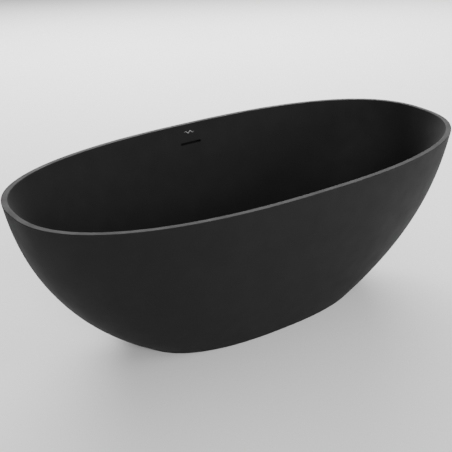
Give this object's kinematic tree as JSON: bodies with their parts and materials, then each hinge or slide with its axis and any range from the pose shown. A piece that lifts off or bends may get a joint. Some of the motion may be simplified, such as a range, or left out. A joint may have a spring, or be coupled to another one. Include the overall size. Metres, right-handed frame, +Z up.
{
  "type": "freestanding bathtub",
  "caption": "Oval double-ended freestanding bathtub with a thin flat rim, slot overflow, push-to-open waste, and a steel frame on levelling feet inside a bonded outer skin.",
  "frame": {"origin": "centre of the footprint, on the floor under the foot pads", "axes": "+X along the tub's length, +Y towards the side with the overflow, +Z up"},
  "size_m": [1.6994, 0.8043, 0.586],
  "materials": {
    "shell_black": "satin black gelcoat over acrylic, smooth",
    "adhesive": "cured adhesive, same black",
    "duct_plastic": "moulded, fine texture",
    "sealant": "cured silicone, black",
    "hose_plastic": "flexible corrugated",
    "clamp_steel": "rolled strip",
    "zinc_steel": "bright zinc",
    "galvanised": "galvanised spangle",
    "chrome_brass": "polished plate",
    "bare_brass": "turned",
    "spring_steel": "drawn wire",
    "seal_rubber": "matte",
    "waste_plastic": "moulded, light grain",
    "board_plywood": "sanded birch ply",
    "block_timber": "planed softwood",
    "plug_plastic": "moulded",
    "pad_rubber": "moulded tread"
  },
  "bodies": {
    "root": {"basin": "shell_black", "outer_skin": "shell_black", "rim_bond": "adhesive", "overflow_duct": "duct_plastic", "duct_seal": "sealant", "overflow_hose": "hose_plastic", "hose_clamp_lower": "clamp_steel", "hose_clamp_upper": "clamp_steel", "clamp_screw_lower": "zinc_steel", "clamp_screw_upper": "zinc_steel", "waste_flange": "chrome_brass", "upper_gasket": "seal_rubber", "lower_gasket": "seal_rubber", "waste_body": "waste_plastic", "click_cartridge": "bare_brass", "click_spring": "spring_steel", "base_board": "board_plywood", "frame_rail_front": "galvanised", "frame_rail_rear": "galvanised", "rail_end_plugs": "plug_plastic", "frame_screws": "zinc_steel", "strap_screws": "zinc_steel", "foot_inserts": "zinc_steel", "foot_lock_nuts": "zinc_steel", "frame_cross_1": "galvanised", "frame_cross_2": "galvanised", "frame_cross_3": "galvanised", "frame_cross_4": "galvanised", "skirt_block_left_front": "block_timber", "skirt_strap_left_front": "galvanised", "skirt_block_left_rear": "block_timber", "skirt_strap_left_rear": "galvanised", "skirt_block_right_front": "block_timber", "skirt_strap_right_front": "galvanised", "skirt_block_right_rear": "block_timber", "skirt_strap_right_rear": "galvanised"},
    "plug": {"plug_cap": "chrome_brass", "plug_seal": "seal_rubber", "plug_stem": "bare_brass"},
    "pad_left_front": {"foot_pad_left_front": "pad_rubber"},
    "stud_left_front": {"foot_stud_left_front": "zinc_steel"},
    "pad_left_rear": {"foot_pad_left_rear": "pad_rubber"},
    "stud_left_rear": {"foot_stud_left_rear": "zinc_steel"},
    "pad_right_front": {"foot_pad_right_front": "pad_rubber"},
    "stud_right_front": {"foot_stud_right_front": "zinc_steel"},
    "pad_right_rear": {"foot_pad_right_rear": "pad_rubber"},
    "stud_right_rear": {"foot_stud_right_rear": "zinc_steel"}
  },
  "joints": [
    {"name": "plug_lift", "type": "slide", "parent": "root", "child": "plug", "axis": [0, 0, 1], "range_m": [0, 0.009], "deforming": ["click_spring"]},
    {"name": "foot_left_front_height", "type": "slide", "parent": "root", "child": "pad_left_front", "axis": [0, 0, -1], "range_m": [-0.003, 0.012]},
    {"name": "foot_left_front_turn", "type": "hinge", "parent": "pad_left_front", "child": "stud_left_front", "pos_m": [-0.3, -0.11, 0.05], "axis": [0, 0, -1], "range_deg": [-618, 2470]},
    {"name": "foot_left_rear_height", "type": "slide", "parent": "root", "child": "pad_left_rear", "axis": [0, 0, -1], "range_m": [-0.003, 0.012]},
    {"name": "foot_left_rear_turn", "type": "hinge", "parent": "pad_left_rear", "child": "stud_left_rear", "pos_m": [-0.3, 0.11, 0.05], "axis": [0, 0, -1], "range_deg": [-618, 2470]},
    {"name": "foot_right_front_height", "type": "slide", "parent": "root", "child": "pad_right_front", "axis": [0, 0, -1], "range_m": [-0.003, 0.012]},
    {"name": "foot_right_front_turn", "type": "hinge", "parent": "pad_right_front", "child": "stud_right_front", "pos_m": [0.3, -0.11, 0.05], "axis": [0, 0, -1], "range_deg": [-618, 2470]},
    {"name": "foot_right_rear_height", "type": "slide", "parent": "root", "child": "pad_right_rear", "axis": [0, 0, -1], "range_m": [-0.003, 0.012]},
    {"name": "foot_right_rear_turn", "type": "hinge", "parent": "pad_right_rear", "child": "stud_right_rear", "pos_m": [0.3, 0.11, 0.05], "axis": [0, 0, -1], "range_deg": [-618, 2470]}
  ],
  "couplings": [
    {"joint": "foot_left_front_turn", "follows": "foot_left_front_height", "rad_per_m": 3590.4},
    {"joint": "foot_left_rear_turn", "follows": "foot_left_rear_height", "rad_per_m": 3590.4},
    {"joint": "foot_right_front_turn", "follows": "foot_right_front_height", "rad_per_m": 3590.4},
    {"joint": "foot_right_rear_turn", "follows": "foot_right_rear_height", "rad_per_m": 3590.4}
  ]
}
